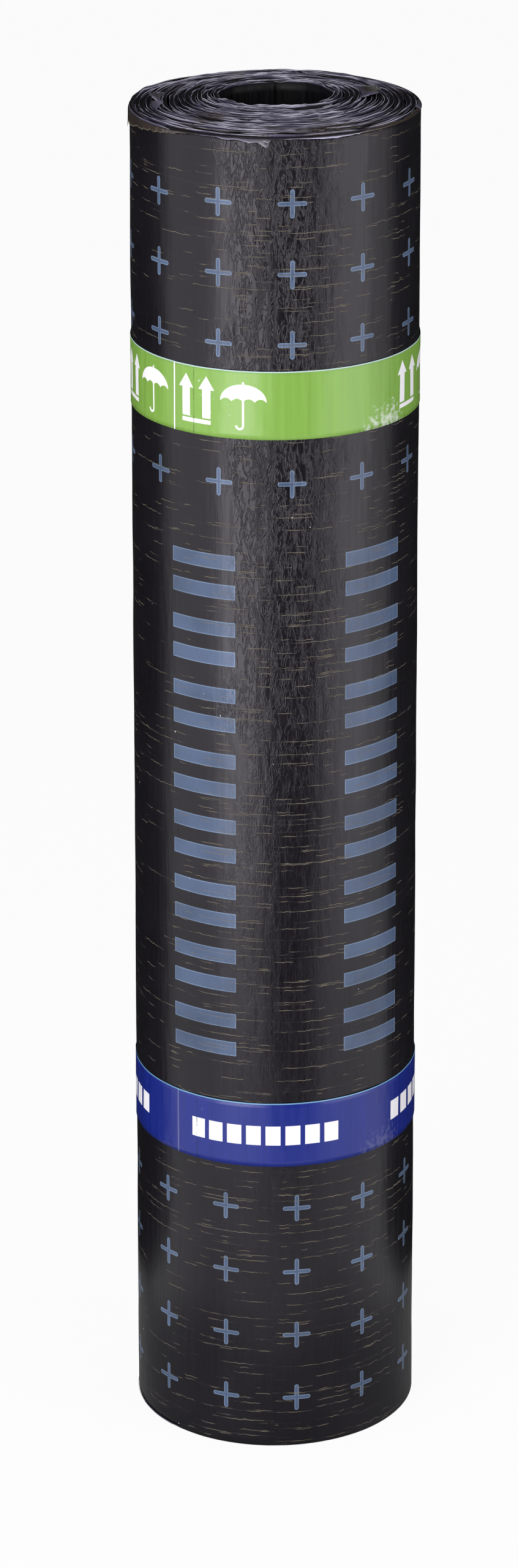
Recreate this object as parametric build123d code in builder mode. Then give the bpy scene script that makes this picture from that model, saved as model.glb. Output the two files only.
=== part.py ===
# A roll of torch-on roofing felt, standing on its end and held shut by two printed tapes.
# +Z is up, the front looks along -Y, and the origin is on the bore's axis at floor level.
from math import acos, degrees
import os

from build123d import *

# Felt sheet
sheet_width = 1000.0
sheet_thickness = 4.0

# Roll: the bore is the open middle that the winding spindle left
bore_radius = 41.0
turn_count = 16

# The inner turns slid up past the outer ones, which stay level and carry the roll
end_rise = 6.0
level_turns = 3

# Gap between neighbouring turns, as it shows on both ends. The turns round the bore are pressed
# together, and the gap's depth is from the highest turn on the upper end and the floor on the lower.
gap_width = 0.8
gap_depth = 18.0
pressed_turns = 3

# Tapes round the roll, each with its tail stuck down over its start at the front left
tape_width = 50.0
tape_thickness = 0.2
tape_overlap = 19.0
tape_tail_angle = -133.0
green_tape_height = 782.0
blue_tape_height = 226.0

# A wound sheet's outline is two half turns. The right one is about the bore's axis, and the left
# one about a point half a sheet thickness in front of it, so that each full turn comes in by one
# sheet thickness. The sheet's free edge is then a step at the back, its face to the left.
right_radius = bore_radius + turn_count * sheet_thickness
left_radius = right_radius - sheet_thickness / 2
left_centre = (0, -sheet_thickness / 2)
left_axis = Axis((*left_centre, 0), (0, 0, 1))

# The right half's section, as (radius, height) points from the bore's foot round to its top.
level_radius = right_radius - level_turns * sheet_thickness
roll_height = sheet_width + end_rise
section = [
    (bore_radius, end_rise),
    (level_radius, 0),
    (right_radius, 0),
    (right_radius, sheet_width),
    (level_radius, sheet_width),
    (bore_radius, roll_height),
]

# The gap is one spiral, which winds in from the sheet's free edge and ends at the front.
gap_turns = turn_count - pressed_turns
gap_start = right_radius - sheet_thickness
gap_end = right_radius - gap_turns * sheet_thickness
with BuildLine() as gap_outline:
    for wall in (-gap_width / 2, gap_width / 2):
        for turn in range(1, gap_turns + 1):
            CenterArc((0, 0), right_radius - turn * sheet_thickness + wall, 90, -180)
        for turn in range(1, gap_turns):
            CenterArc(left_centre, left_radius - turn * sheet_thickness + wall, -90, -180)
    Line((0, gap_start - gap_width / 2), (0, gap_start + gap_width / 2))
    Line((0, -gap_end - gap_width / 2), (0, -gap_end + gap_width / 2))

# The sheet's start stands at the front of the bore. The next turn runs flat off its corner,
# to where it touches the bore's round.
start_corner = bore_radius + sheet_thickness
flat_over_start = degrees(acos(bore_radius / start_corner))
start_flat_end = Vector(0, -bore_radius).rotate(Axis.Z, -flat_over_start)

os.makedirs("parts", exist_ok=True)

# The wound felt: two half rounds, each turned about its own centre, the bore, and the notch that
# the sheet's start leaves in it. The gap between the turns is the hardest feature, many tangent
# half turns in one outline, and it is cut into both ends.
with BuildPart() as felt_roll:
    with BuildSketch(Plane.YZ):
        right_side = [(-radius, height) for radius, height in section]
        Polygon((0, end_rise), *right_side, (0, roll_height), align=None)
    revolve(axis=Axis.Z, revolution_arc=180)
    with BuildSketch(Plane.YZ):
        left_side = [(radius - sheet_thickness, height) for radius, height in section]
        middle = left_centre[1]
        Polygon((middle, end_rise), *left_side, (middle, roll_height), align=None)
    revolve(axis=left_axis, revolution_arc=180)
    with BuildSketch():
        Circle(bore_radius)
        Polygon((0, 0), (0, -start_corner), (start_flat_end.X, start_flat_end.Y), align=None)
    extrude(amount=roll_height, mode=Mode.SUBTRACT)
    for end_height, inwards in ((0, gap_depth), (roll_height, -gap_depth)):
        with BuildSketch(Plane.XY.offset(end_height)):
            make_face(gap_outline.edges())
        extrude(amount=inwards, mode=Mode.SUBTRACT)
felt_roll.part.label = "felt_roll"
export_step(felt_roll.part, "parts/felt_roll.step")

# A tape is stretched round both half turns, and runs flat over the free edge's step.
flat_over_step = degrees(acos(left_radius / (right_radius + sheet_thickness / 2)))
with BuildLine() as stretched_outline:
    CenterArc((0, 0), right_radius, 90, -180)
    round_left = CenterArc(left_centre, left_radius, -90, flat_over_step - 180)
    Line(round_left @ 1, (0, right_radius))

# The tail is a second layer on the left half turn.
overlap_arc = degrees(tape_overlap / left_radius)
with BuildLine() as overlap_outline:
    tail = CenterArc(left_centre, left_radius + 2 * tape_thickness, tape_tail_angle, overlap_arc)
    felt = CenterArc(left_centre, left_radius, tape_tail_angle, overlap_arc)
    Line(tail @ 0, felt @ 0)
    Line(tail @ 1, felt @ 1)

with BuildSketch() as tape_section:
    make_face(stretched_outline.edges())
    offset(amount=tape_thickness)
    make_face(overlap_outline.edges())
    make_face(stretched_outline.edges(), mode=Mode.SUBTRACT)

# The tapes: thin rings stretched round the felt, which bridge its free edge.
tape_heights = {"green_band": green_tape_height, "blue_band": blue_tape_height}
for name, height in tape_heights.items():
    with BuildPart() as tape:
        with BuildSketch(Plane.XY.offset(height)):
            add(tape_section.sketch)
        extrude(amount=tape_width)
    tape.part.label = name
    export_step(tape.part, f"parts/{name}.step")
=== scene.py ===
import math

import bmesh
import bpy
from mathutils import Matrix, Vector


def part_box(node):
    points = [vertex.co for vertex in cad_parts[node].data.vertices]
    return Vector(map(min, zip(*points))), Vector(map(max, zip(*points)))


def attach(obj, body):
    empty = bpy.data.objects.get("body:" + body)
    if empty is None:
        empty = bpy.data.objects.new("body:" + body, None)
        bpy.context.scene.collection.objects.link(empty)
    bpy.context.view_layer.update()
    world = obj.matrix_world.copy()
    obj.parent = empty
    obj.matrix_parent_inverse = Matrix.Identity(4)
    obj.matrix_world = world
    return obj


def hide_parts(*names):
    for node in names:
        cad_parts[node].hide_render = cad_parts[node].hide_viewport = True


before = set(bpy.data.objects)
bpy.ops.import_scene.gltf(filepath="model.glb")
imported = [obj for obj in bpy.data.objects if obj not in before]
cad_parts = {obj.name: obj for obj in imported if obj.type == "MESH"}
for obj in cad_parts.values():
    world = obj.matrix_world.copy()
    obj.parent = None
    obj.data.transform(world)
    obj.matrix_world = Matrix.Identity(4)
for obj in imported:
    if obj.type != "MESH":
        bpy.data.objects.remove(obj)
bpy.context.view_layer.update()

mm = 0.001

# The camera looks down at the roll from the front with a long lens, as the photograph does. The
# photograph's upright sides are parallel, which a small downward shift of the frame brings nearer.
camera_distance = 3.6
camera_height = 1.86
camera_pitch = math.radians(15.75)
lens_length = 119.5
frame_shift = (-0.0095, -0.30)

camera_data = bpy.data.cameras.new("camera")
camera_data.lens = lens_length
camera_data.shift_x = frame_shift[0]
camera_data.shift_y = frame_shift[1]
camera = bpy.data.objects.new("camera", camera_data)
camera.location = (0, -camera_distance, camera_height)
camera.rotation_euler = (math.radians(90) - camera_pitch, 0, 0)
bpy.context.scene.collection.objects.link(camera)
bpy.context.scene.camera = camera

# The winding: one bitumen felt sheet, wound inwards from its free edge at the back round an open
# bore. Its outline is two half turns, the left one about a point half a thickness in front of the
# bore's axis, and its inner turns slid up past the outer ones when the roll was handled.
felt_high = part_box("felt_roll")[1]
right_radius = felt_high.x
round_length = 2 * math.pi * right_radius
sheet_pitch = 4.0 * mm
sheet_body = 3.0 * mm
sheet_width = 1000 * mm
turn_count = 16
level_turns = 3
end_rise = felt_high.z - sheet_width

# The turns' play, which grows inwards over these turns, and towards the ends over these shares of
# the sheet's width, counted from its middle. A noise texture's values lie mostly in its range.
spacing_play = 2.6 * mm
edge_wander = 3.0 * mm
play_turns = (0.7, 1.6)
play_shares = (0.44, 0.499)
spacing_circle = (0.9, 0.9, 0.9)
spacing_step = 0.42
spacing_scale = 2.3
wander_scale = 1.9
noise_range = (0.3, 0.7)
wide_noise_range = (0.25, 0.75)


def add(tree, kind, inputs=(), out=0, **settings):
    """Adds one node, of a kind such as TexNoise or Math ADD, with its settings, fills or links its
    inputs, and returns one of its outputs."""
    kind, *operation = kind.split()
    node = tree.nodes.new(kind if "Node" in kind else "ShaderNode" + kind)
    if operation:
        node.operation = operation[0]
    for name, value in settings.items():
        setattr(node, name, value)
    for key, value in inputs.items() if isinstance(inputs, dict) else enumerate(inputs):
        if isinstance(value, bpy.types.NodeSocket):
            tree.links.new(value, node.inputs[key])
        elif value is not None:
            node.inputs[key].default_value = value
    return node.outputs[out]


def away_from(tree, value, place):
    """How far a value is from a place, on either side."""
    value = add(tree, "Math SUBTRACT", [value, place])
    return add(tree, "Math ABSOLUTE", [value])


def repeated(tree, value, first, period):
    """How far a value is past the nearest one of a row of places, from the first place and the pitch."""
    value = add(tree, "Math SUBTRACT", [value, first])
    return add(tree, "Math WRAP", [value, period / 2, -period / 2])


def drawn_noise(tree, face, cells, detail, distortion=0.0):
    """A noise that is drawn out one way, from its cells a metre across and up."""
    place = add(tree, "VectorMath MULTIPLY", [face, (*cells, 1.0)])
    noise = {"Vector": place, "Scale": 1.0, "Detail": detail, "Distortion": distortion}
    return add(tree, "TexNoise", noise)


def new_tree(name, inputs, outputs):
    """Starts a geometry node group, with sockets named in two dicts that give each one's kind or number."""
    tree = bpy.data.node_groups.new(name, "GeometryNodeTree")
    kinds = {float: "NodeSocketFloat", int: "NodeSocketInt"}
    for direction, sockets in (("INPUT", inputs), ("OUTPUT", outputs)):
        for label, value in sockets.items():
            kind = value if isinstance(value, str) else kinds[type(value)]
            socket = tree.interface.new_socket(label, in_out=direction, socket_type=kind)
            if not isinstance(value, str):
                socket.default_value = value
    return tree, tree.nodes.new("NodeGroupInput").outputs, tree.nodes.new("NodeGroupOutput").inputs


# The winding as a rule: from the turns wound so far, the distance outwards from the sheet's outer
# face, the share across its width and a height above that, to a place. Near the ends the turns
# lie unevenly, and the sheet's edges wander up and down.
winding, given, result = new_tree(
    "place on the winding",
    {"Turn": 0.0, "Outwards": 0.0, "Across": 0.0, "Above": 0.0},
    {"Position": "NodeSocketVector"},
)
half_turns = add(winding, "Math MULTIPLY", [given["Turn"], 2.0])
half_turns = add(winding, "Math FLOOR", [half_turns])
radius = add(winding, "Math MULTIPLY_ADD", [half_turns, -sheet_pitch / 2, right_radius])
radius = add(winding, "Math ADD", [radius, given["Outwards"]])
turned = add(winding, "Math MULTIPLY_ADD", [given["Turn"], -2 * math.pi, math.pi / 2])
cosine = add(winding, "Math COSINE", [turned])
sine = add(winding, "Math SINE", [turned])
direction = add(winding, "CombineXYZ", [cosine, sine])

inner_share = add(winding, "MapRange", [given["Turn"], *play_turns, 0.0, 1.0])
near_end = [away_from(winding, given["Across"], 0.5), *play_shares, 0.0, 1.0]
near_end = add(winding, "MapRange", near_end, interpolation_type="SMOOTHSTEP")
inwards = add(winding, "Math MULTIPLY", [given["Turn"], spacing_step])
inwards = add(winding, "CombineXYZ", [0.0, 0.0, inwards])
spread = add(winding, "VectorMath MULTIPLY_ADD", [direction, spacing_circle, inwards])
spacing = add(winding, "TexNoise", {"Vector": spread, "Scale": spacing_scale, "Detail": 1.0})
spacing = add(winding, "MapRange", [spacing, *wide_noise_range, -spacing_play / 2, spacing_play / 2])
spacing = add(winding, "Math MULTIPLY", [spacing, near_end])
spacing = add(winding, "Math MULTIPLY", [spacing, inner_share])
radius = add(winding, "Math ADD", [radius, spacing])

slid = add(winding, "MapRange", [given["Turn"], level_turns, turn_count, 0.0, end_rise])
wander = {"W": given["Turn"], "Scale": wander_scale, "Detail": 2.0}
wander = add(winding, "TexNoise", wander, noise_dimensions="1D")
wander = add(winding, "MapRange", [wander, *wide_noise_range, 0.0, edge_wander])
wander = add(winding, "Math MULTIPLY", [wander, inner_share])
wander = add(winding, "Math MULTIPLY", [wander, near_end])
height = add(winding, "Math MULTIPLY_ADD", [given["Across"], sheet_width, slid])
height = add(winding, "Math ADD", [height, wander])
height = add(winding, "Math ADD", [height, given["Above"]])
height = add(winding, "Math MAXIMUM", [height, 0.0])

on_left = add(winding, "Math FLOORED_MODULO", [half_turns, 2.0])
centre_y = add(winding, "Math MULTIPLY", [on_left, -sheet_pitch / 2])
centre = add(winding, "CombineXYZ", [0.0, centre_y, height])
arm = add(winding, "VectorMath SCALE", {0: direction, "Scale": radius})
winding.links.new(add(winding, "VectorMath ADD", [arm, centre]), result["Position"])


def sweep(name, sides, extra):
    """Starts a tree that sweeps a closed profile along the turns. It returns the tree, its inputs and
    output, the raw tube, and the fields turn, across and depth, which its points are placed by."""
    sizes = {"First Turn": 0.0, "Last Turn": 1.0, "Segments": 400, "Material": "NodeSocketMaterial", **extra}
    tree, given, result = new_tree(name, sizes, {"Geometry": "NodeSocketGeometry"})
    ends = [add(tree, "CombineXYZ", [given[end]]) for end in ("First Turn", "Last Turn")]
    path = add(tree, "GeometryNodeCurvePrimitiveLine", {"Start": ends[0], "End": ends[1]})
    path = add(tree, "GeometryNodeResampleCurve", {"Curve": path, "Count": given["Segments"]}, mode="COUNT")
    here = add(tree, "SeparateXYZ", [add(tree, "GeometryNodeInputPosition")]).node.outputs
    wanted = {"Geometry": path, "Name": "turn", "Value": here["X"]}
    path = add(tree, "GeometryNodeStoreNamedAttribute", wanted)
    outline = tree.nodes.new("GeometryNodeJoinGeometry")
    for start, end, count in sides:
        side = add(tree, "GeometryNodeCurvePrimitiveLine", {"Start": (*start, 0), "End": (*end, 0)})
        side = add(tree, "GeometryNodeResampleCurve", {"Curve": side, "Count": count}, mode="COUNT")
        tree.links.new(add(tree, "GeometryNodeCurveToMesh", {"Curve": side}), outline.inputs[0])
    outline = add(tree, "GeometryNodeMergeByDistance", {"Geometry": outline.outputs[0], "Distance": 1e-5})
    outline = add(tree, "GeometryNodeMeshToCurve", {"Mesh": outline})
    for label, axis in (("depth", "X"), ("across", "Y")):
        wanted = {"Geometry": outline, "Name": label, "Value": here[axis]}
        outline = add(tree, "GeometryNodeStoreNamedAttribute", wanted)
    tube = add(tree, "GeometryNodeCurveToMesh", {"Curve": path, "Profile Curve": outline, "Fill Caps": True})
    fields = [add(tree, "GeometryNodeInputNamedAttribute", {"Name": n}) for n in ("turn", "across", "depth")]
    return tree, given, result, tube, fields


def place_on_winding(tree, tube, values):
    """Moves the tube's points to their places on the winding, from a dict of its inputs."""
    node = tree.nodes.new("GeometryNodeGroup")
    node.node_tree = winding
    for label, value in values.items():
        if isinstance(value, bpy.types.NodeSocket):
            tree.links.new(value, node.inputs[label])
        else:
            node.inputs[label].default_value = value
    return add(tree, "GeometryNodeSetPosition", {"Geometry": tube, "Position": node.outputs["Position"]})


def end_tree(tree, given, result, shape, printed):
    """Stores the shape's pattern map, in metres, realizes it, and gives it its material."""
    mapped = {"Geometry": shape, "Name": "pattern", "Value": printed}
    shape = add(tree, "GeometryNodeStoreNamedAttribute", mapped, data_type="FLOAT2", domain="CORNER")
    shape = add(tree, "GeometryNodeRealizeInstances", [shape])
    shape = add(tree, "GeometryNodeSetMaterial", {"Geometry": shape, "Material": given["Material"]})
    tree.links.new(shape, result["Geometry"])


def made(name, tree, values):
    """Runs a tree with these inputs and returns its result as a piece with a plain closed mesh."""
    piece = bpy.data.objects.new(name, bpy.data.meshes.new(name))
    bpy.context.scene.collection.objects.link(piece)
    modifier = piece.modifiers.new(name, "NODES")
    modifier.node_group = tree
    for item in tree.interface.items_tree:
        if item.in_out == "INPUT" and item.name in values:
            modifier[item.identifier] = values[item.name]
    graph = bpy.context.evaluated_depsgraph_get()
    mesh = bpy.data.meshes.new_from_object(piece.evaluated_get(graph), depsgraph=graph)
    piece.modifiers.clear()
    piece.data = mesh
    finish_mesh(mesh)
    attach(piece, "root")
    return piece


def finish_mesh(mesh):
    """Turns every face outwards and shades it smooth."""
    shell = bmesh.new()
    shell.from_mesh(mesh)
    bmesh.ops.recalc_face_normals(shell, faces=shell.faces)
    for face in shell.faces:
        face.smooth = True
    shell.to_mesh(mesh)
    shell.free()


def linear(code):
    """An sRGB hex colour as the linear colour that a shader takes."""
    parts = [int(code[i:i + 2], 16) / 255 for i in (1, 3, 5)]
    return (*[p / 12.92 if p <= 0.04045 else ((p + 0.055) / 1.055) ** 2.4 for p in parts], 1)


def new_material(name):
    """Starts a material and returns it, its tree and its Principled shader."""
    material = bpy.data.materials.new(name)
    material.use_nodes = True
    return material, material.node_tree, material.node_tree.nodes["Principled BSDF"]


def below(tree, value, limit, soft):
    """1 where value lies below a limit, with a soft edge."""
    return add(tree, "MapRange", [value, limit - soft, limit + soft, 1.0, 0.0])


def within(tree, value, low, high, soft):
    """1 where value lies between low and high, with soft edges."""
    rise = add(tree, "MapRange", [value, low - soft, low + soft, 0.0, 1.0])
    return add(tree, "Math MULTIPLY", [rise, below(tree, value, high, soft)])


def pattern_map(look):
    """The pattern's place along and up the sheet in metres, as two numbers and as one flat place."""
    flat = add(look, "UVMap", uv_map="pattern")
    parts = add(look, "SeparateXYZ", [flat]).node.outputs
    return parts["X"], parts["Y"], flat


def finish_surface(look, shader, colour, roughness, relief, strength, height):
    """Links a shader's colour, its roughness, and the bump of its finest relief."""
    bump = add(look, "Bump", {"Strength": strength, "Distance": height, "Height": relief})
    for socket, value in (("Base Color", colour), ("Roughness", roughness), ("Normal", bump)):
        target = shader.inputs[socket]
        if isinstance(value, bpy.types.NodeSocket):
            look.links.new(value, target)
        else:
            target.default_value = value


# Bitumen felt with its burn-off film: black modified bitumen under a thin polyethylene film, which
# is glossy and shrunk into fine upright wrinkles. The bitumen under it has cracked across in short
# hairlines that show dusty tan, and blue-grey crosses and plain bars are printed on the film.
film_black = "#121015"
crack_tan = "#6e6657"
print_blue = "#4a5a76"
print_edge = "#6c7f9b"
speck_white = "#b9b6b4"

felt_film, look, film_shader = new_material("bitumen_felt_with_film")
u, v, flat = pattern_map(look)

# Crosses: 21 mm wide with 3 mm round-ended strokes, in five rows along each edge of the sheet.
cross_reach = 8.8 * mm
cross_stroke = 1.6 * mm
cross_column_pitch = 54 * mm
cross_row_pitch = 51 * mm
upper_cross = (-41 * mm, 749 * mm)
lower_cross = (-37 * mm, 39 * mm)
lower_rows = (10 * mm, 266 * mm)
upper_rows = (723 * mm, 985 * mm)
row_fade = 1 * mm
ink_bleed = 0.15 * mm
ink_rim = (-0.9 * mm, -0.3 * mm)

is_upper = add(look, "Math GREATER_THAN", [v, sheet_width / 2])
cross_u = add(look, "MapRange", [is_upper, 0.0, 1.0, lower_cross[0], upper_cross[0]])
cross_v = add(look, "MapRange", [is_upper, 0.0, 1.0, lower_cross[1], upper_cross[1]])
offsets = []
for value, first, pitch in ((u, cross_u, cross_column_pitch), (v, cross_v, cross_row_pitch)):
    moved = repeated(look, value, first, pitch)
    offsets.append(add(look, "Math ABSOLUTE", [moved]))
arms = []
for along, aside in (offsets, offsets[::-1]):
    past = add(look, "Math SUBTRACT", [along, cross_reach])
    past = add(look, "Math MAXIMUM", [past, 0.0])
    reach = add(look, "CombineXYZ", [past, aside])
    arms.append(add(look, "VectorMath LENGTH", [reach], out="Value"))
cross_distance = add(look, "Math MINIMUM", arms)
cross_distance = add(look, "Math SUBTRACT", [cross_distance, cross_stroke])
in_rows = [within(look, v, *rows, row_fade) for rows in (lower_rows, upper_rows)]
in_rows = add(look, "Math ADD", in_rows)
cross_mask = below(look, cross_distance, 0.0, ink_bleed)
cross_rim = add(look, "MapRange", [cross_distance, *ink_rim, 0.0, 1.0])

# Bars: pairs of plain strokes in columns down the middle of the sheet.
column_pitch = 135 * mm
column_centre = -55 * mm
bar_half_length = 26.5 * mm
bar_pair_pitch = 50 * mm
bar_spread = 11 * mm
bar_half_stroke = 5.5 * mm
bar_rows = (303 * mm, 703 * mm)
bar_fade = 0.5 * mm

moved = repeated(look, u, column_centre, column_pitch)
moved = add(look, "Math ABSOLUTE", [moved])
bar_along = add(look, "Math SUBTRACT", [moved, bar_half_length])
moved = add(look, "Math SUBTRACT", [v, bar_rows[0]])
moved = add(look, "Math WRAP", [moved, bar_pair_pitch, 0.0])
bar_aside = add(look, "Math SUBTRACT", [moved, bar_pair_pitch / 2])
for inset in (bar_spread, bar_half_stroke):
    bar_aside = add(look, "Math ABSOLUTE", [bar_aside])
    bar_aside = add(look, "Math SUBTRACT", [bar_aside, inset])
bar_distance = add(look, "Math MAXIMUM", [bar_along, bar_aside])
bar_mask = below(look, bar_distance, 0.0, ink_bleed)
bar_mask = add(look, "Math MULTIPLY", [bar_mask, within(look, v, *bar_rows, bar_fade)])
bar_rim = add(look, "MapRange", [bar_distance, *ink_rim, 0.0, 1.0])

print_mask = add(look, "Math MULTIPLY", [cross_mask, in_rows])
print_rim = add(look, "Mix", {0: print_mask, 2: bar_rim, 3: cross_rim})
print_mask = add(look, "Math MAXIMUM", [print_mask, bar_mask])

# Cracks: at most one hairline in each cell of a grid, at a random place, present where a broad
# noise says that the bitumen is more brittle, and more often at the front. Each layer of cracks has
# its cells' width and height, the share of them that have a crack, and a seed.
crack_layers = (
    (68 * mm, 12 * mm, 0.34, 3.0),
    (31 * mm, 8 * mm, 0.22, 11.0),
    (15 * mm, 5 * mm, 0.12, 23.0),
)
hairline = 0.22 * mm
hairline_edge = (-0.12 * mm, 0.10 * mm)
crack_wave = 1.1 * mm
crack_wave_scale = 160.0
crack_heights = (0.25, 0.75)
crack_half_lengths = (0.15, 0.48)
crack_point = 0.08
cracked_front = (-70 * mm, 95 * mm, 30 * mm)
front_shares = (0.6, 1.85)
brittle_scale = 14.0
brittle_shares = (0.25, 1.75)
crack_fade_scale = 90.0
crack_fade_range = (0.36, 0.6)
crack_fade = (0.15, 0.92)

front_share = add(look, "MapRange", [within(look, u, *cracked_front), 0.0, 1.0, *front_shares])
cracks = []
for cell_width, cell_height, share, seed in crack_layers:
    cell_u = add(look, "Math DIVIDE", [u, cell_width])
    cell_v = add(look, "Math DIVIDE", [v, cell_height])
    corner = [add(look, "Math FLOOR", [c]) for c in (cell_u, cell_v)]
    corner = add(look, "CombineXYZ", [*corner, seed])
    chance = add(look, "TexWhiteNoise", {"Vector": corner}, out="Color")
    chance = add(look, "SeparateColor", [chance]).node.outputs
    centre_v = add(look, "MapRange", [chance["Red"], 0.0, 1.0, *crack_heights])
    wave = {"W": u, "Scale": crack_wave_scale, "Detail": 2.0}
    wave = add(look, "TexNoise", wave, noise_dimensions="1D")
    wave = add(look, "MapRange", [wave, 0.0, 1.0, -crack_wave / cell_height, crack_wave / cell_height])
    centre_v = add(look, "Math ADD", [centre_v, wave])
    across = away_from(look, add(look, "Math FRACT", [cell_v]), centre_v)
    across = add(look, "Math MULTIPLY", [across, cell_height])
    half = add(look, "MapRange", [chance["Green"], 0.0, 1.0, *crack_half_lengths])
    sideways = away_from(look, add(look, "Math FRACT", [cell_u]), 0.5)
    sideways = add(look, "Math SUBTRACT", [sideways, half])
    thin = add(look, "MapRange", [sideways, -crack_point, 0.0, hairline, 0.0])
    line = add(look, "Math SUBTRACT", [across, thin])
    line = add(look, "MapRange", [line, *hairline_edge, 1.0, 0.0])
    brittle = add(look, "CombineXYZ", [u, v, seed])
    brittle = add(look, "TexNoise", {"Vector": brittle, "Scale": brittle_scale, "Detail": 1.0})
    shares = [limit * share for limit in brittle_shares]
    brittle = add(look, "MapRange", [brittle, *noise_range, *shares])
    brittle = add(look, "Math MULTIPLY", [brittle, front_share])
    present = add(look, "Math LESS_THAN", [chance["Blue"], brittle])
    cracks.append(add(look, "Math MULTIPLY", [line, present]))
crack = add(look, "Math MAXIMUM", cracks[:2])
crack = add(look, "Math MAXIMUM", [crack, cracks[2]])
fade = add(look, "TexNoise", {"Vector": flat, "Scale": crack_fade_scale, "Detail": 2.0})
fade = add(look, "MapRange", [fade, *crack_fade_range, *crack_fade])
crack = add(look, "Math MULTIPLY", [crack, fade])

# Specks of dust, and the worn streaks that run up the film.
speck_scale = 75.0
speck_chances = (0.8, 1.0)
speck_sizes = (-0.02, 0.045)
streak_cells = (420.0, 9.0)
blotch_scale = 22.0
worn_range = (0.35, 0.6)
worn_ink = (0.70, 1.0)
film_tones = (0.75, 1.25)
film_roughness = (0.23, 0.34)
crack_roughness = 0.8
film_gloss = 0.35
film_gloss_tint = (0.97, 0.93, 1.0, 1)

speck = add(look, "TexVoronoi", {"Vector": flat, "Scale": speck_scale}, out="Distance")
speck_size = add(look, "TexVoronoi", {"Vector": flat, "Scale": speck_scale}, out="Color")
speck_size = add(look, "SeparateColor", [speck_size])
speck_size = add(look, "MapRange", [speck_size, *speck_chances, *speck_sizes])
speck = add(look, "Math LESS_THAN", [speck, speck_size])
streaks = drawn_noise(look, flat, streak_cells, 3.0)
blotches = add(look, "TexNoise", {"Vector": flat, "Scale": blotch_scale, "Detail": 4.0})

worn_print = add(look, "MapRange", [blotches, *worn_range, *worn_ink])
inks = {0: print_rim, 6: linear(print_blue), 7: linear(print_edge)}
ink = add(look, "Mix", inks, out=2, data_type="RGBA")
inked = add(look, "Math MULTIPLY", [print_mask, worn_print])
film_tone = add(look, "MapRange", [blotches, *noise_range, *film_tones])
colour = add(look, "VectorMath SCALE", {0: linear(film_black)[:3], "Scale": film_tone})
for share, top in ((inked, ink), (crack, linear(crack_tan)), (speck, linear(speck_white))):
    colour = add(look, "Mix", {0: share, 6: colour, 7: top}, out=2, data_type="RGBA")
rough = add(look, "MapRange", [streaks, *noise_range, *film_roughness])
rough = add(look, "Mix", {0: crack, 2: rough, 3: crack_roughness})
film_shader.inputs["Specular IOR Level"].default_value = film_gloss
film_shader.inputs["Specular Tint"].default_value = film_gloss_tint

# The finest wrinkles, a few millimetres across, are too fine for the mesh and are bump. They are
# leathery down the front, where the film has shrunk most, and faint upright lines elsewhere.
wrinkle_left = -34 * mm
wrinkle_right = 62 * mm
leather_cells = (230.0, 75.0)
leather_line = 0.08
leather_depths = (0.04, 0.95)
fine_cells = (520.0, 40.0)
fine_share = 0.3
zone_scale = 16.0
zone_wander = 14 * mm
zone_left_fade = 8 * mm
zone_right_fade = 40 * mm
zone_heights = (0.45, 0.8)
zone_foot_share = 0.22
crack_share = 0.6
bump_strength = 0.6
bump_height = 0.36 * mm

leather = away_from(look, drawn_noise(look, flat, leather_cells, 3.0, 1.3), 0.5)
leather = add(look, "MapRange", [leather, 0.0, leather_line, 0.0, 1.0])
fine = drawn_noise(look, flat, fine_cells, 2.0, 0.5)
zone_edge = add(look, "TexNoise", {"Vector": flat, "Scale": zone_scale, "Detail": 3.0})
zone_edge = add(look, "MapRange", [zone_edge, *noise_range, -zone_wander, zone_wander])
zone_edge = add(look, "Math ADD", [zone_edge, u])
zone_start = [zone_edge, wrinkle_left - zone_left_fade, wrinkle_left + zone_left_fade, 0.0, 1.0]
zone_start = add(look, "MapRange", zone_start)
zone_end = add(look, "MapRange", [zone_edge, wrinkle_right - zone_right_fade, wrinkle_right, 1.0, 0.0])
in_zone = add(look, "Math MULTIPLY", [zone_start, zone_end])
zone_height = add(look, "MapRange", [v, *zone_heights, zone_foot_share, 1.0])
in_zone = add(look, "Math MULTIPLY", [in_zone, zone_height])
leather_depth = add(look, "MapRange", [in_zone, 0.0, 1.0, *leather_depths])
leather = add(look, "Math MULTIPLY", [leather, leather_depth])
wrinkles = add(look, "Math MULTIPLY_ADD", [fine, fine_share, leather])
crack_depth = add(look, "Math MULTIPLY", [crack, crack_share])
wrinkles = add(look, "Math SUBTRACT", [wrinkles, crack_depth])
finish_surface(look, film_shader, colour, rough, wrinkles, bump_strength, bump_height)

# The outermost turn, from the sheet's free edge at the back once round. Its film has shrunk into
# upright wrinkles, deepest in a band down the front from a sharp crease at its left side. Each side
# of the sheet's section is given by its two ends, as (depth, share across), and its points.
outer_turn_segments = 420
fold_cells = (165.0, 40.0)
fold_range = (0.38, 0.58)
fold_depth = 0.4 * mm
swell_scale = 11.0
swell_depth = 0.5 * mm
crease_before = 3 * mm
crease_after = 2 * mm
band_scale = 9.0
band_wander = 18 * mm
band_fade = (-30 * mm, 25 * mm)
band_heights = (0.4, 0.8)
band_foot_share = 0.2
rest_share = 0.22
face_depth = 0.6

felt_sheet_sides = (
    ((0, 0), (0, 1), 190),
    ((0, 1), (-1, 1), 5),
    ((-1, 1), (-1, 0), 22),
    ((-1, 0), (0, 0), 5),
)
outer, given, result, tube, (turn, across, depth) = sweep(
    "outermost turn", felt_sheet_sides, {"Body": sheet_body}
)
arc = add(outer, "Math SUBTRACT", [0.5, turn])
arc = add(outer, "Math MULTIPLY", [arc, round_length])
tall = add(outer, "Math MULTIPLY", [across, sheet_width])
face = add(outer, "CombineXYZ", [arc, tall])
outwards = add(outer, "Math MULTIPLY", [depth, given["Body"]])

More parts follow.
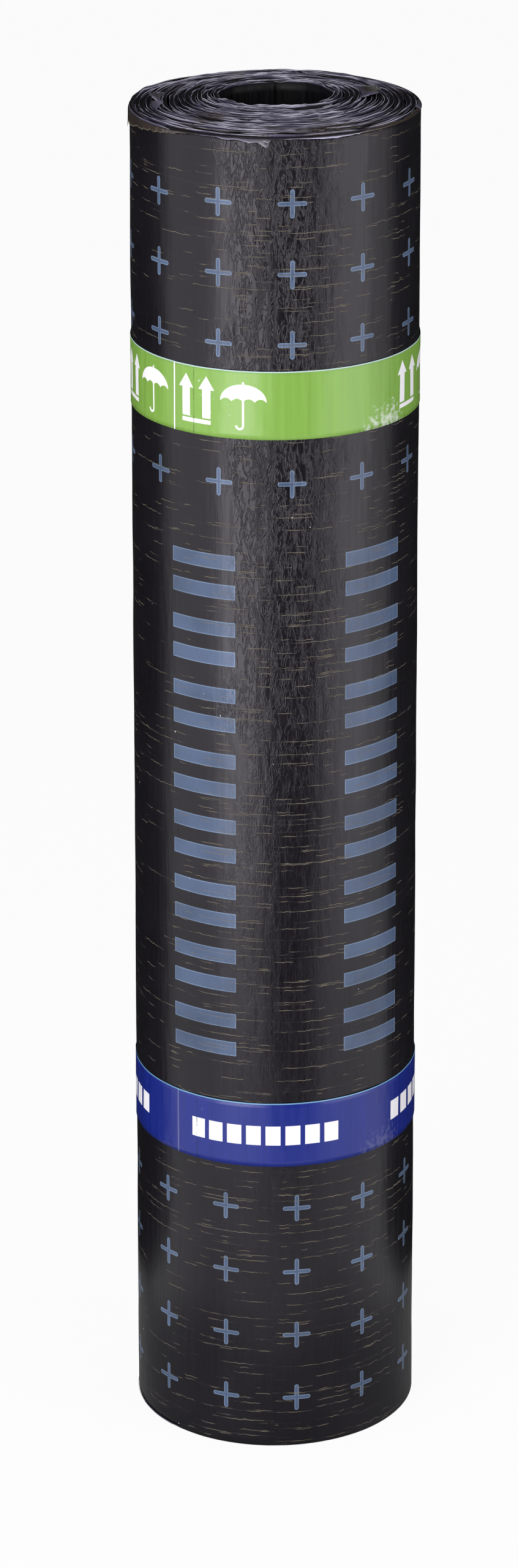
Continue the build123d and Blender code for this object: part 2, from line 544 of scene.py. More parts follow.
zone = add(outer, "TexNoise", {"Vector": face, "Scale": band_scale, "Detail": 2.0})
zone = add(outer, "MapRange", [zone, *noise_range, -band_wander, band_wander])
zone = add(outer, "Math ADD", [arc, zone])
zone_rise = [arc, wrinkle_left - crease_before, wrinkle_left + crease_after, 0.0, 1.0]
zone_rise = add(outer, "MapRange", zone_rise)
zone_fall = [zone, wrinkle_right + band_fade[0], wrinkle_right + band_fade[1], 1.0, 0.0]
zone_fall = add(outer, "MapRange", zone_fall)
zone = add(outer, "Math MULTIPLY", [zone_rise, zone_fall])
zone_height = add(outer, "MapRange", [tall, *band_heights, band_foot_share, 1.0])
zone = add(outer, "Math MULTIPLY", [zone, zone_height])
zone = add(outer, "MapRange", [zone, 0.0, 1.0, rest_share, 1.0])
folds = drawn_noise(outer, face, fold_cells, 3.0, 1.0)
folds = add(outer, "MapRange", [folds, *fold_range, -fold_depth, 0.0])
folds = add(outer, "Math MULTIPLY", [folds, zone])
swell = add(outer, "TexNoise", {"Vector": face, "Scale": swell_scale, "Detail": 1.0})
swell = add(outer, "MapRange", [swell, *noise_range, -swell_depth, 0.0])
relief = add(outer, "Math ADD", [folds, swell])
is_face = add(outer, "MapRange", [depth, -face_depth, 0.0, 0.0, 1.0])
relief = add(outer, "Math MULTIPLY", [relief, is_face])
outwards = add(outer, "Math ADD", [outwards, relief])
placing = {"Turn": turn, "Outwards": outwards, "Across": across}
shape = place_on_winding(outer, tube, placing)
end_tree(outer, given, result, shape, face)

felt_outer_turn = made(
    "felt_outer_turn", outer,
    {
        "First Turn": 0.0, "Last Turn": 1.0, "Segments": outer_turn_segments,
        "Body": sheet_body, "Material": felt_film,
    },
)
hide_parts("felt_roll")

# The fifteen turns inside the outermost one, down to the bore. They are the same sheet going on, and
# the film on the bore's wall is smooth because nothing has pressed on it. Their black is painted a
# little darker than the outer turn's, as painted shade of the bore and of the gaps between the turns.
inner_segments = 2900
inner_sheet_sides = (
    ((0, 0), (0, 0.03), 4),
    ((0, 0.03), (0, 0.97), 5),
    ((0, 0.97), (0, 1), 5),
    ((0, 1), (-1, 1), 4),
    ((-1, 1), (-1, 0.97), 5),
    ((-1, 0.97), (-1, 0.03), 5),
    ((-1, 0.03), (-1, 0), 4),
    ((-1, 0), (0, 0), 3),
)
film_inner_shaded = "#0f0d10"
inner_streak_cells = (130.0, 5.0)
inner_tones = (0.6, 1.4)
inner_roughness = (0.35, 0.55)
inner_gloss = 0.14
inner_bump_strength = 0.4
inner_bump_height = 0.3 * mm

inner_film, look, film_shader = new_material("bitumen_felt_between_turns")
flat = add(look, "UVMap", uv_map="pattern")
streaks = drawn_noise(look, flat, inner_streak_cells, 3.0)
tone = add(look, "MapRange", [streaks, *noise_range, *inner_tones])
colour = add(look, "VectorMath SCALE", {0: linear(film_inner_shaded)[:3], "Scale": tone})
rough = add(look, "MapRange", [streaks, *noise_range, *inner_roughness])
film_shader.inputs["Specular IOR Level"].default_value = inner_gloss
finish_surface(look, film_shader, colour, rough, streaks, inner_bump_strength, inner_bump_height)

inner, given, result, tube, (turn, across, depth) = sweep(
    "inner turns", inner_sheet_sides, {"Body": sheet_body}
)
arc = add(inner, "Math MULTIPLY", [turn, -round_length])
tall = add(inner, "Math MULTIPLY", [across, sheet_width])
face = add(inner, "CombineXYZ", [arc, tall])
outwards = add(inner, "Math MULTIPLY", [depth, given["Body"]])
placing = {"Turn": turn, "Outwards": outwards, "Across": across}
shape = place_on_winding(inner, tube, placing)
end_tree(inner, given, result, shape, face)
made(
    "felt_inner_turns", inner,
    {
        "First Turn": 1.0, "Last Turn": float(turn_count), "Segments": inner_segments,
        "Body": sheet_body, "Material": inner_film,
    },
)

# The burn-off film reaches a little past the cut ends of the sheet, and was crumpled there when the
# roll was handled. Its torn tips are painted lighter, a painted highlight where they catch the light,
# and it is brown where bitumen sticks to it.
# The tips' colours are painted highlight: lavender and near-white, greener or olive where dirt tints them.
film_tip_highlight = "#bab6d2"
film_green = "#87908a"
film_brown = "#332b26"
film_dark = "#474358"
film_rim = "#2a2422"
film_olive = "#8a8471"
film_pale = "#4e4a5c"
film_bright_highlight = "#d9d6ea"
patch_scale = 30.0
patch_stretch = 0.02
patch_range = (0.45, 0.6)
dirt_scale = 26.0
dirt_range = (0.52, 0.64)
loose_roughness = 0.25
loose_gloss = 0.75
loose_gloss_tint = (0.95, 0.92, 1.0, 1)
crumple_scale = 380.0
crumple_strength = 0.6
crumple_height = 0.5 * mm


def film_look(name, dark, brown, tip, green, tip_start, patchy):
    """Crumpled film, darker or browner in its body, and painted lighter along its torn tips as a painted
    highlight.
    """
    material, look, shader = new_material(name)
    reach, flat = pattern_map(look)[1:]
    place = add(look, "TexCoord", out="Object")
    patches = add(look, "VectorMath MULTIPLY", [flat, (1.0, patch_stretch, 1.0)])
    patches = add(look, "TexNoise", {"Vector": patches, "Scale": patch_scale, "Detail": 4.0})
    tints = add(look, "TexNoise", {"Vector": place, "Scale": dirt_scale, "Detail": 2.0})
    dirty = add(look, "MapRange", [tints, *dirt_range, 0.0, 1.0])
    body = add(look, "Mix", {0: dirty, 6: linear(dark), 7: linear(brown)}, out=2, data_type="RGBA")
    tips = add(look, "Mix", {0: dirty, 6: linear(tip), 7: linear(green)}, out=2, data_type="RGBA")
    # The tips are painted lighter towards their ends, a painted highlight in patches along the turns.
    edge = add(look, "MapRange", [reach, tip_start, 1.0, 0.0, 1.0])
    patches = add(look, "MapRange", [patches, *patch_range, 1.0 - patchy, 1.0])
    edge = add(look, "Math MULTIPLY", [edge, patches])
    colour = add(look, "Mix", {0: edge, 6: body, 7: tips}, out=2, data_type="RGBA")
    shader.inputs["Specular IOR Level"].default_value = loose_gloss
    shader.inputs["Specular Tint"].default_value = loose_gloss_tint
    crumple = add(look, "TexNoise", {"Vector": place, "Scale": crumple_scale, "Detail": 3.0})
    finish_surface(look, shader, colour, loose_roughness, crumple, crumple_strength, crumple_height)
    return material


torn_film = film_look("torn_burn_off_film", film_dark, film_brown, film_bright_highlight, film_tip_highlight, 0.52, 0.9)
rim_film = film_look("rim_burn_off_film", film_brown, film_rim, film_olive, film_olive, 0.86, 0.3)
pale_film = film_look("loose_burn_off_film", film_pale, film_brown, film_tip_highlight, film_green, 0.45, 0.8)
# This film is painted light over most of its reach, a painted highlight along the front rim's tatters.
bright_film = film_look("painted_highlight_burn_off_film", film_pale, film_tip_highlight, film_bright_highlight, film_tip_highlight, 0.15, 0.3)

# A strip of film: it stands up from a turn's edge, bends over within its fold, and goes on straight.
# Its three noises, for the reach, the lean and the tatters, have a scale, a detail and a seed's shift.
strip_noises = ((9.0, 3.0, 0.0), (5.0, 2.0, 40.0), (30.0, 2.0, 80.0))
reach_range = (0.35, 0.68)
tatters = (0.7, 1.2)
least_lean = 0.02
flutter_size = 0.35 * mm
tip_pattern_step = 0.66
film_sides = (((0, 0), (0, 1), 5), ((0, 1), (-1, 1), 2), ((-1, 1), (-1, 0), 5), ((-1, 0), (0, 0), 2))
strip_sizes = {
    "End": 1.0, "Face": 0.0, "Thickness": 0.15 * mm, "Root": -1.0 * mm, "Reach": 3.0 * mm,
    "Least": 0.0, "Fold": 2.0 * mm, "Lean": 0.3, "Lean Play": 1.0, "First Taper": 0.02,
    "Last Taper": 0.02, "Grain": 1.0, "Seed": 0.0,
}
strip, given, result, tube, (turn, across, depth) = sweep("film strip", film_sides, strip_sizes)
along = add(strip, "Math MULTIPLY", [turn, given["Grain"]])
noises = []
for size, detail, shift in strip_noises:
    seed = add(strip, "Math ADD", [given["Seed"], shift])
    where = add(strip, "CombineXYZ", [along, seed, 0.0])
    noises.append(add(strip, "TexNoise", {"Vector": where, "Scale": size, "Detail": detail}))
reach = add(strip, "MapRange", [noises[0], *reach_range, given["Least"], 1.0])
ragged = add(strip, "MapRange", [noises[2], *noise_range, *tatters])
reach = add(strip, "Math MULTIPLY", [reach, ragged])
for end, end_taper, sign in (("First Turn", "First Taper", 1), ("Last Turn", "Last Taper", -1)):
    from_end = add(strip, "Math SUBTRACT", [turn, given[end]])
    from_end = add(strip, "Math MULTIPLY", [from_end, sign])
    taper = add(strip, "MapRange", [from_end, 0.0, given[end_taper], 0.0, 1.0])
    reach = add(strip, "Math MULTIPLY", [reach, taper])
reach = add(strip, "Math MULTIPLY", [reach, given["Reach"]])

# The lean is the angle that the strip has turned through at the end of its fold, and its sign says
# to which side. Up and off are the place on that bend, and then on the straight rest of the strip.
lean = add(strip, "MapRange", [noises[1], *noise_range, -0.5, 0.5])
lean = add(strip, "Math MULTIPLY_ADD", [lean, given["Lean Play"], given["Lean"]])
out_way = add(strip, "Math SIGN", [lean])
lean = add(strip, "Math ABSOLUTE", [lean])
lean = add(strip, "Math MAXIMUM", [lean, least_lean])
bend_radius = add(strip, "Math DIVIDE", [given["Fold"], lean])
length = add(strip, "Math MULTIPLY", [across, reach])
bent = add(strip, "Math DIVIDE", [length, given["Fold"]])
bent = add(strip, "Math MINIMUM", [bent, 1.0])
angle = add(strip, "Math MULTIPLY", [bent, lean])
rest = add(strip, "Math SUBTRACT", [length, given["Fold"]])
rest = add(strip, "Math MAXIMUM", [rest, 0.0])
up = add(strip, "Math SINE", [angle])
up = add(strip, "Math MULTIPLY", [up, bend_radius])
rest_up = add(strip, "Math COSINE", [lean])
up = add(strip, "Math MULTIPLY_ADD", [rest_up, rest, up])
off = add(strip, "Math COSINE", [angle])
off = add(strip, "Math SUBTRACT", [1.0, off])
off = add(strip, "Math MULTIPLY", [off, bend_radius])
rest_off = add(strip, "Math SINE", [lean])
off = add(strip, "Math MULTIPLY_ADD", [rest_off, rest, off])
off = add(strip, "Math MULTIPLY_ADD", [off, out_way, given["Face"]])
flutter = add(strip, "MapRange", [noises[2], *noise_range, -flutter_size, flutter_size])
off = add(strip, "Math MULTIPLY_ADD", [flutter, across, off])
off = add(strip, "Math MULTIPLY_ADD", [depth, given["Thickness"], off])
up = add(strip, "Math ADD", [up, given["Root"]])
way_up = add(strip, "Math MULTIPLY_ADD", [given["End"], 2.0, -1.0])
above = add(strip, "Math MULTIPLY", [way_up, up])
placing = {"Turn": turn, "Outwards": off, "Across": given["End"], "Above": above}
shape = place_on_winding(strip, tube, placing)
tips = add(strip, "Math MULTIPLY", [turn, tip_pattern_step])
tips = add(strip, "CombineXYZ", [tips, across])
end_tree(strip, given, result, shape, tips)

# The hems: low crumpled film along both faces of every turn, on both ends. Each has its face, its
# place outwards, a seed, the least share of its reach, and its reach.
hem_first_turn = 0.62
hem_last_turn = turn_count - 0.01
hem_segments = 3388
hem_root = 1.0 * mm
hem_fold = 1.6 * mm
hem_lean_play = 1.7
hem_grain = 0.9
hem_shapes = (("outer", 0.1 * mm, 1.0, 0.3, 1.7 * mm), ("inner", -sheet_body, 2.0, 0.0, 2.2 * mm))
for name, end in (("upper_film_hems", 1.0), ("lower_film_hems", 0.0)):
    for face_name, face, seed, least, reach in hem_shapes:
        made(
            f"{name}_{face_name}", strip,
            {
                "First Turn": hem_first_turn, "Last Turn": hem_last_turn, "Segments": hem_segments,
                "End": end, "Face": face, "Root": -hem_root, "Reach": reach + hem_root,
                "Least": least, "Fold": hem_fold, "Lean": 0.0, "Lean Play": hem_lean_play,
                "Seed": seed, "Grain": hem_grain, "Material": torn_film,
            },
        )

# Wider tears of the same film, laid over. Each has its film, the turns from the free edge
# where it starts and ends, its place outwards in mm, its reach in mm, its lean in radians, outwards
# when positive, the lean's play, the tapers at its two ends in turns, the least share of its reach,
# and its fold in mm.
tears = (
    ("left_rim_fold", rim_film, 0.585, 0.84, 0.1, 15, 3.12, 0.06, 0.16, 0.10, 0.8, 1.1),
    ("front_rim_lip", pale_film, 0.503, 0.585, 0.3, 5.0, 2.4, 0.5, 0.002, 0.06, 0.75, 1.3),
    ("front_corner_flap", pale_film, 0.504, 0.526, 0.5, 8.5, 2.95, 0.2, 0.002, 0.02, 0.85, 1.2),
    ("front_rim_tatters", bright_film, 0.400, 0.490, 0.1, 3.8, 2.1, 0.9, 0.006, 0.04, 0.45, 1.1),
    ("right_rim_film", rim_film, 0.270, 0.410, 0.1, 5, -1.4, 0.8, 0.02, 0.03, 0.3, 2.0),
    ("right_rim_patch", pale_film, 0.232, 0.275, 0.2, 9, -1.8, 0.5, 0.01, 0.01, 0.6, 2.0),
    ("back_left_rim", rim_film, 0.84, 0.99, 0.2, 6, -1.5, 0.8, 0.03, 0.03, 0.3, 2.0),
    ("front_tear", rim_film, 5.38, 5.53, 0.2, 14, 1.6, 0.5, 0.04, 0.04, 0.5, 2.2),
    ("front_second_tear", rim_film, 2.36, 2.50, 0.2, 9, 1.4, 0.6, 0.04, 0.02, 0.4, 2.2),
    ("front_left_tear", rim_film, 2.52, 2.62, 0.2, 9, 1.5, 0.5, 0.03, 0.03, 0.4, 2.2),
    ("left_triangle", pale_film, 8.79, 8.85, 0.2, 14, -1.2, 0.5, 0.03, 0.03, 0.8, 2.2),
    ("left_second_triangle", torn_film, 6.72, 6.79, 0.2, 12, 1.3, 0.6, 0.03, 0.03, 0.8, 2.2),
    ("left_third_triangle", pale_film, 4.70, 4.75, 0.2, 9, -1.4, 0.6, 0.02, 0.02, 0.8, 2.0),
    ("right_fold", pale_film, 11.17, 11.28, 0.2, 17, 1.5, 0.3, 0.03, 0.03, 0.8, 2.2),
    ("back_fold", pale_film, 5.99, 6.05, 0.2, 11, -1.2, 0.4, 0.01, 0.01, 0.9, 2.2),
    ("back_long_fold", torn_film, 9.96, 10.09, 0.2, 9, 1.3, 0.6, 0.04, 0.04, 0.5, 2.2),
    ("bore_front_fold", pale_film, 14.42, 14.62, 0.2, 6, 1.4, 0.9, 0.04, 0.04, 0.3, 1.8),
)
tear_segments = 420
least_tear_segments = 16
tear_root = 0.8 * mm
tear_grain = 2.5
first_tear_seed = 20.0
for number, (name, film, first, last, face, reach, lean, play, rise, fall, least, fold) in enumerate(tears):
    made(
        name, strip,
        {
            "First Turn": first, "Last Turn": last,
            "Segments": max(least_tear_segments, int((last - first) * tear_segments)),
            "End": 1.0, "Face": face * mm, "Root": -tear_root, "Reach": reach * mm, "Least": least,
            "Fold": fold * mm, "Lean": lean, "Lean Play": play, "First Taper": rise,
            "Last Taper": fall, "Seed": first_tear_seed + number, "Grain": tear_grain, "Material": film,
        },
    )

# Two printed adhesive tapes hold the roll shut. Each starts under its own end at the front left,
# goes round the back, where it runs straight over the free edge's step, and sticks down on itself.
tape_width = 50 * mm
tape_film = 0.12 * mm
tape_segments = 440
tape_start = 0.5 + 33 / 360
tape_end = 1.5 + 43 / 360
layer_heights = (0.15 * mm, 0.45 * mm)
left_radius = right_radius - sheet_pitch / 2
step_flat = math.acos(left_radius / (right_radius + sheet_pitch / 2))
ridge_half_width = 0.003
ridge_height = 0.25 * mm
cockle_cells = (60.0, 25.0, 1.0)
cockle_range = (0.4, 0.75)
cockle_height = 0.35 * mm

tape_sides = (((0, 0), (0, 1), 14), ((0, 1), (-1, 1), 2), ((-1, 1), (-1, 0), 14), ((-1, 0), (0, 0), 2))
tape, given, result, tube, (turn, across, depth) = sweep(
    "tape", tape_sides, {"Foot": 0.0, "Width": tape_width, "Thickness": tape_film, "Seed": 0.0}
)
once = add(tape, "Math FLOORED_MODULO", [turn, 1.0])
arc = add(tape, "Math SUBTRACT", [1.5, turn])
arc = add(tape, "Math MULTIPLY", [arc, round_length])
tall = add(tape, "Math MULTIPLY", [across, given["Width"]])
face = add(tape, "CombineXYZ", [arc, tall])
from_back = add(tape, "Math SUBTRACT", [1.0, once])
from_touch = add(tape, "Math MULTIPLY_ADD", [from_back, -2 * math.pi, step_flat])
from_touch = add(tape, "Math MAXIMUM", [from_touch, 0.0])
bridge = add(tape, "Math COSINE", [from_touch])
bridge = add(tape, "Math DIVIDE", [1.0, bridge])
bridge = add(tape, "Math SUBTRACT", [bridge, 1.0])
bridge = add(tape, "Math MULTIPLY", [bridge, left_radius])
layer = add(tape, "MapRange", [turn, tape_start, tape_end, *layer_heights])
outwards = add(tape, "Math ADD", [bridge, layer])
ridge = away_from(tape, turn, tape_start + 1)
ridge = add(tape, "MapRange", [ridge, 0.0, ridge_half_width, ridge_height, 0.0])
outwards = add(tape, "Math ADD", [outwards, ridge])
cockle = add(tape, "VectorMath MULTIPLY", [face, cockle_cells])
seeded = add(tape, "CombineXYZ", [0.0, 0.0, given["Seed"]])
cockle = add(tape, "VectorMath ADD", [cockle, seeded])
cockle = add(tape, "TexNoise", {"Vector": cockle, "Scale": 1.0, "Detail": 2.0})
cockle = add(tape, "MapRange", [cockle, *cockle_range, 0.0, cockle_height])
outwards = add(tape, "Math ADD", [outwards, cockle])
outwards = add(tape, "Math MULTIPLY_ADD", [depth, given["Thickness"], outwards])
above = add(tape, "Math ADD", [tall, given["Foot"]])
above = add(tape, "Math ADD", [above, -sheet_width / 2])
placing = {"Turn": once, "Outwards": outwards, "Across": 0.5, "Above": above}
shape = place_on_winding(tape, tube, placing)
end_tree(tape, given, result, shape, face)

# Glossy green tape, printed in white with the handling marks for this way up and keep dry. The marks
# repeat along the tape, and behind the roll they lie a little further on.
tape_green = "#77a044"
print_white = "#eeecf2"
tape_bleed = 0.2 * mm
mark_period = 177 * mm
arrows_at = -58.7 * mm
umbrella_at = -22.2 * mm
slip_starts = 230 * mm
print_slip = 48.8 * mm

green_film, look, film_shader = new_material("green_printed_tape")
u, v, flat = pattern_map(look)
slipped = add(look, "Math GREATER_THAN", [u, slip_starts])
printed = add(look, "Math MULTIPLY_ADD", [slipped, -print_slip, u])

# Two arrows side by side, pointing up, over a short bar.
base_half_length = 12 * mm
base_rows = (8.2 * mm, 11.2 * mm)
arrow_aside = 8.5 * mm
shaft_edge = (3.1 * mm, 3.5 * mm)
shaft_rows = (12.5 * mm, 34 * mm)
head_rows = (33.5 * mm, 50 * mm)
head_tip = 43.4 * mm
head_slope = 0.64

moved = repeated(look, printed, arrows_at, mark_period)
moved = add(look, "Math ABSOLUTE", [moved])
base = below(look, moved, base_half_length, tape_bleed)
base = add(look, "Math MULTIPLY", [base, within(look, v, *base_rows, tape_bleed)])
aside = away_from(look, moved, arrow_aside)
shaft = add(look, "MapRange", [aside, *shaft_edge, 1.0, 0.0])
shaft = add(look, "Math MULTIPLY", [shaft, within(look, v, *shaft_rows, tape_bleed)])
slope = add(look, "Math SUBTRACT", [v, head_tip])
slope = add(look, "Math MULTIPLY_ADD", [slope, head_slope, aside])
head = below(look, slope, 0.0, tape_bleed)
head = add(look, "Math MULTIPLY", [head, within(look, v, *head_rows, tape_bleed)])
arrows = add(look, "Math MAXIMUM", [shaft, head])
arrows = add(look, "Math MAXIMUM", [arrows, base])

# An umbrella: half an ellipse with four scallops, a thin stick and a hook to the left.
canopy_foot = 27.5 * mm
canopy_radius = 17 * mm
canopy_height = 12.5 * mm
scallop_width = 8.5 * mm
scallop_depth = 2.2 * mm
scallop_top = 29.6 * mm
stroke_edge = (0.6 * mm, 0.9 * mm)
stick_rows = (9.8 * mm, 41.7 * mm)
hook_radius = 2.5 * mm
hook_rows = (5 * mm, 9.8 * mm)

moved = repeated(look, printed, umbrella_at, mark_period)
canopy = add(look, "Math SUBTRACT", [v, canopy_foot])
canopy = add(look, "Math MULTIPLY", [canopy, canopy_radius / canopy_height])
canopy = add(look, "CombineXYZ", [moved, canopy])
canopy = add(look, "VectorMath LENGTH", [canopy], out="Value")
canopy = below(look, canopy, canopy_radius, tape_bleed)
scallop = add(look, "Math DIVIDE", [moved, scallop_width])
scallop = add(look, "Math FRACT", [scallop])
scallop = add(look, "Math MULTIPLY_ADD", [scallop, 2.0, -1.0])
scallop = add(look, "Math MULTIPLY", [scallop, scallop])
scallop = add(look, "Math MULTIPLY_ADD", [scallop, -scallop_depth, scallop_top])
scallop = add(look, "Math GREATER_THAN", [v, scallop])
canopy = add(look, "Math MULTIPLY", [canopy, scallop])
stick = add(look, "Math ABSOLUTE", [moved])
stick = add(look, "MapRange", [stick, *stroke_edge, 1.0, 0.0])
stick = add(look, "Math MULTIPLY", [stick, within(look, v, *stick_rows, tape_bleed)])
hook_x = add(look, "Math ADD", [moved, hook_radius])
hook_y = add(look, "Math SUBTRACT", [v, hook_rows[1]])
hook = add(look, "CombineXYZ", [hook_x, hook_y])
hook = add(look, "VectorMath LENGTH", [hook], out="Value")
hook = add(look, "MapRange", [away_from(look, hook, hook_radius), *stroke_edge, 1.0, 0.0])
hook = add(look, "Math MULTIPLY", [hook, within(look, v, *hook_rows, tape_bleed)])
umbrella = add(look, "Math MAXIMUM", [canopy, stick])
umbrella = add(look, "Math MAXIMUM", [umbrella, hook])
marks = add(look, "Math MAXIMUM", [arrows, umbrella])

# What both tapes share: a printed line across the end, a light upper edge that is a painted highlight,
# scuffs, one rubbed stretch at the front right, a dark broken line of painted shade along the ridge
# where the start lies underneath, streaks and gloss.
end_arc = (1.5 - tape_end) * round_length
end_line = (1.0 * mm, 1.3 * mm)
start_arc = (0.5 - tape_start) * round_length
start_line = (0.25 * mm, 0.6 * mm)
start_line_scale = 150.0
start_line_range = (0.45, 0.55)
start_line_shares = (0.2, 0.7)
start_line_shade = 0.35
scuff_scale = 260.0
scuff_place_scale = 17.0
scuff_range = (0.40, 0.50)
rubbed_stretch = (58 * mm, 112 * mm, 12 * mm)
rubbed_rows = (6 * mm, 26 * mm)
rubbed_more = 0.16
tape_streak_cells = (260.0, 8.0)
tape_tones = (0.93, 1.07)
light_edge = (1.0 * mm, 0.7 * mm)
light_edge_share = 0.75
tape_roughness = (0.24, 0.36)
tape_bump_strength = 0.35
tape_bump_height = 0.12 * mm


def finish_tape(look, shader, marks, film, edge_highlight_tint, wear, line_share):
    """Gives one tape its colours, wear and gloss round its printed marks."""
    u, v, flat = pattern_map(look)
    margin = [u, end_arc + end_line[0], end_arc + end_line[1], line_share, 0.0]
    margin = add(look, "MapRange", margin)
    white = add(look, "Math MAXIMUM", [marks, margin])
    scuffed = add(look, "TexNoise", {"Vector": flat, "Scale": scuff_scale, "Detail": 4.0})
    where = add(look, "TexNoise", {"Vector": flat, "Scale": scuff_place_scale, "Detail": 2.0})
    scuffed = add(look, "Math MULTIPLY", [scuffed, where])
    rubbed = within(look, u, *rubbed_stretch)
    low = add(look, "MapRange", [v, *rubbed_rows, 1.0, 0.0])
    rubbed = add(look, "Math MULTIPLY", [rubbed, low])
    rubbed = add(look, "MapRange", [rubbed, 0.0, 1.0, 0.0, rubbed_more])
    scuffed = add(look, "Math ADD", [scuffed, rubbed])
    scuffed = add(look, "MapRange", [scuffed, *scuff_range, 0.0, wear])
    streaks = drawn_noise(look, flat, tape_streak_cells, 3.0)
    tone = add(look, "MapRange", [streaks, *noise_range, *tape_tones])
    colour = add(look, "VectorMath SCALE", {0: linear(film)[:3], "Scale": tone})
    for share in (white, scuffed):
        layers = {0: share, 6: colour, 7: linear(print_white)}
        colour = add(look, "Mix", layers, out=2, data_type="RGBA")
    # A dark broken line along the ridge where the tape's start lies underneath: painted shade of the step, a
    # darker copy of the tape's colour.
    line = away_from(look, u, start_arc)
    line = add(look, "MapRange", [line, *start_line, 1.0, 0.0])
    broken = {"W": v, "Scale": start_line_scale}
    broken = add(look, "TexNoise", broken, noise_dimensions="1D")
    broken = add(look, "MapRange", [broken, *start_line_range, *start_line_shares])
    line = add(look, "Math MULTIPLY", [line, broken])
    dark = {0: linear(film)[:3], "Scale": start_line_shade}
    dark = add(look, "VectorMath SCALE", dark)
    colour = add(look, "Mix", {0: line, 6: colour, 7: dark}, out=2, data_type="RGBA")
    # A band along the tape's upper edge, lighter and tinted pale blue: a painted highlight.
    edge = [tape_width - inset for inset in light_edge]
    edge = add(look, "MapRange", [v, *edge, 0.0, light_edge_share])
    colour = add(look, "Mix", {0: edge, 6: colour, 7: linear(edge_highlight_tint)}, out=2, data_type="RGBA")
    rough = add(look, "MapRange", [streaks, *noise_range, *tape_roughness])
    finish_surface(look, shader, colour, rough, streaks, tape_bump_strength, tape_bump_height)


green_tape_edge_highlight = "#cfe6f2"
green_wear = 0.5
green_line_share = 1.0
finish_tape(look, film_shader, marks, tape_green, green_tape_edge_highlight, green_wear, green_line_share)
green_tape = made(
    "green_tape", tape,
    {
        "First Turn": tape_start, "Last Turn": tape_end, "Segments": tape_segments,
        "Foot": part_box("green_band")[0].z, "Width": tape_width, "Thickness": tape_film,
        "Seed": 0.0, "Material": green_film,
    },
)
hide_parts("green_band")

# Glossy dark blue tape, printed with rows of plain white blocks.
tape_blue = "#0e2078"
blue_tape_edge_highlight = "#7fb4d8"
blue_wear = 0.06
blue_line_share = 0.12
block_period = 14.6 * mm
block_width = 11 * mm
block_bleed = 0.15 * mm
block_rows = (17 * mm, 32 * mm)
row_period = 165 * mm
row_half = 58 * mm
row_centre = -8 * mm

blue_film, look, film_shader = new_material("blue_printed_tape")
u, v, flat = pattern_map(look)
moved = repeated(look, u, row_centre, row_period)
in_row = add(look, "Math ABSOLUTE", [moved])
in_row = add(look, "Math LESS_THAN", [in_row, row_half])
moved = add(look, "Math WRAP", [moved, block_period, 0.0])
blocks = below(look, away_from(look, moved, block_period / 2), block_width / 2, block_bleed)
blocks = add(look, "Math MULTIPLY", [blocks, within(look, v, *block_rows, block_bleed)])
blocks = add(look, "Math MULTIPLY", [blocks, in_row])
finish_tape(look, film_shader, blocks, tape_blue, blue_tape_edge_highlight, blue_wear, blue_line_share)
blue_tape = made(
    "blue_tape", tape,
    {
        "First Turn": tape_start, "Last Turn": tape_end, "Segments": tape_segments,
        "Foot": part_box("blue_band")[0].z, "Width": tape_width, "Thickness": tape_film,
        "Seed": 9.0, "Material": blue_film,
    },
)
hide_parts("blue_band")

# The stage: a plain pale floor in plain soft studio light. Soft boxes near the roll give it its two
# long highlights. Dark cards, which only reflections see, stand in front and behind, as a studio
# puts them round a glossy black thing, and a grey one lies round its foot.
floor_white = 0.82
floor_grain = 0.02
floor_grain_scale = 40.0
floor_roughness = 0.9
floor_glow = 0.93
floor_size = 30


def mottled(name, scale, low, high):
    """A grey stage material whose tone wanders a little between two limits."""
    material, look, shader = new_material(name)
    grain = add(look, "TexNoise", {"Vector": add(look, "TexCoord", out="Object"), "Scale": scale})
    grain = add(look, "MapRange", [grain, 0.0, 1.0, low, high])
    look.links.new(add(look, "CombineColor", [grain, grain, grain]), shader.inputs["Base Color"])
    return material, look, shader


def background_ray(tree):
    """1 for the rays that show the background: from the camera, a mirror or through glass."""
    path = add(tree, "LightPath").node.outputs
    seen = add(tree, "Math MAXIMUM", [path["Is Camera Ray"], path["Is Glossy Ray"]])
    return add(tree, "Math MAXIMUM", [seen, path["Is Transmission Ray"]])


floor_tones = (floor_white - floor_grain, floor_white + floor_grain)
floor_material, ground, floor_shader = mottled("pale_floor", floor_grain_scale, *floor_tones)
floor_shader.inputs["Roughness"].default_value = floor_roughness
glow = add(ground, "Math MULTIPLY", [background_ray(ground), floor_glow])
white = add(ground, "Emission", {"Color": (1, 1, 1, 1), "Strength": 1.0})
surface = add(ground, "MixShader", [glow, floor_shader.outputs[0], white])
ground.links.new(surface, ground.nodes["Material Output"].inputs["Surface"])

bpy.ops.mesh.primitive_plane_add(size=floor_size)
floor = bpy.context.object
floor.name = "floor"
floor.data.materials.append(floor_material)


def upright(name, azimuth, distance, width, tall, material):
    """A flat stage panel that stands on the floor, square to the roll's axis."""
    around = math.radians(azimuth)
    middle = Vector((distance * math.sin(around), -distance * math.cos(around), 0))
    along = Vector((math.cos(around), math.sin(around), 0)) * width / 2
    up = Vector((0, 0, tall))
    mesh = bpy.data.meshes.new(name)
    corners = [middle - along, middle + along, middle + along + up, middle - along + up]
    mesh.from_pydata(corners, [], [(0, 1, 2, 3)])
    panel = bpy.data.objects.new(name, mesh)
    panel.data.materials.append(material)
    bpy.context.scene.collection.objects.link(panel)
    return panel


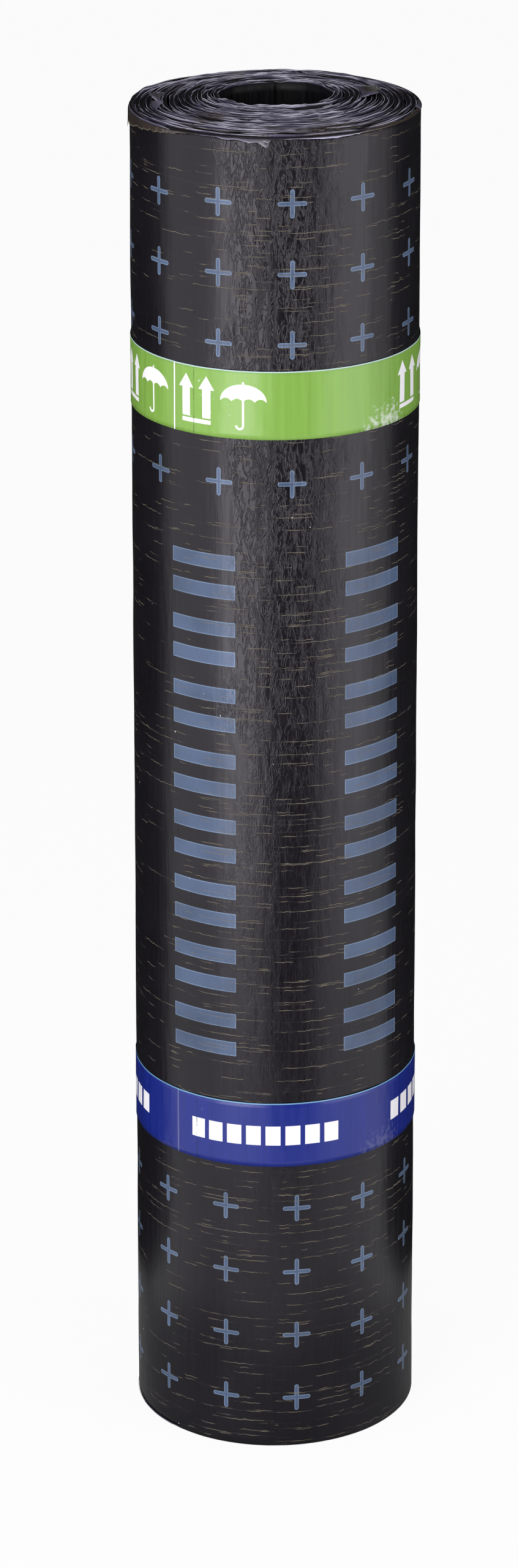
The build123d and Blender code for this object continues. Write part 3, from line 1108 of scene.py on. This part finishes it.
# The cards' paints, by their tone, and the upright cards, by azimuth, distance and width.
card_tones = (("black_card", 0.025), ("grey_card", 0.36))
card_height = 1.6
card_gloss = 0.1
nap_scale = 30.0
nap_play = (0.8, 1.2)
upright_cards = (
    ("front_card", 14, 0.6, 0.36),
    ("rear_left_card", -134, 0.26, 0.58),
    ("rear_right_card", 134, 0.26, 0.5),
)
foot_card_size = 0.54
foot_card_height = 0.5 * mm

paints = {}
for name, tone in card_tones:
    paints[name], look, card_shader = mottled(name, nap_scale, *(tone * share for share in nap_play))
    card_shader.inputs["Specular IOR Level"].default_value = card_gloss
cards = [upright(*card, card_height, paints["black_card"]) for card in upright_cards]
bpy.ops.mesh.primitive_plane_add(size=foot_card_size, location=(0, 0, foot_card_height))
foot_card = bpy.context.object
foot_card.name = "foot_card"
foot_card.data.materials.append(paints["grey_card"])
for card in (*cards, foot_card):
    card.visible_camera = False
    card.visible_diffuse = False
    card.visible_shadow = False

# The studio's own light on the roll, and the soft boxes, by azimuth, size and radiance.
studio_light = 0.5
box_distance = 1.2
soft_boxes = (
    ("left_key", -27, (0.64, 2.0), 4.0),
    ("left_fill", -68, (0.9, 2.0), 0.28),
    ("right_key", 58, (0.85, 2.0), 1.5),
)

world = bpy.data.worlds.new("studio")
bpy.context.scene.world = world
world.use_nodes = True
sky = world.node_tree
strength = add(sky, "MapRange", [background_ray(sky), 0.0, 1.0, studio_light, 1.0])
sky.links.new(strength, sky.nodes["Background"].inputs["Strength"])
sky.nodes["Background"].inputs["Color"].default_value = (1, 1, 1, 1)

for name, azimuth, size, radiance in soft_boxes:
    lamp = bpy.data.lights.new(name, "AREA")
    lamp.shape = "RECTANGLE"
    lamp.size, lamp.size_y = size
    lamp.energy = radiance * size[0] * size[1] * math.pi
    box = bpy.data.objects.new(name, lamp)
    around = math.radians(azimuth)
    box.location = (box_distance * math.sin(around), -box_distance * math.cos(around), size[1] / 2)
    box.rotation_euler = (math.radians(90), 0, around)
    bpy.context.scene.collection.objects.link(box)

bpy.context.scene.view_settings.view_transform = "Standard"
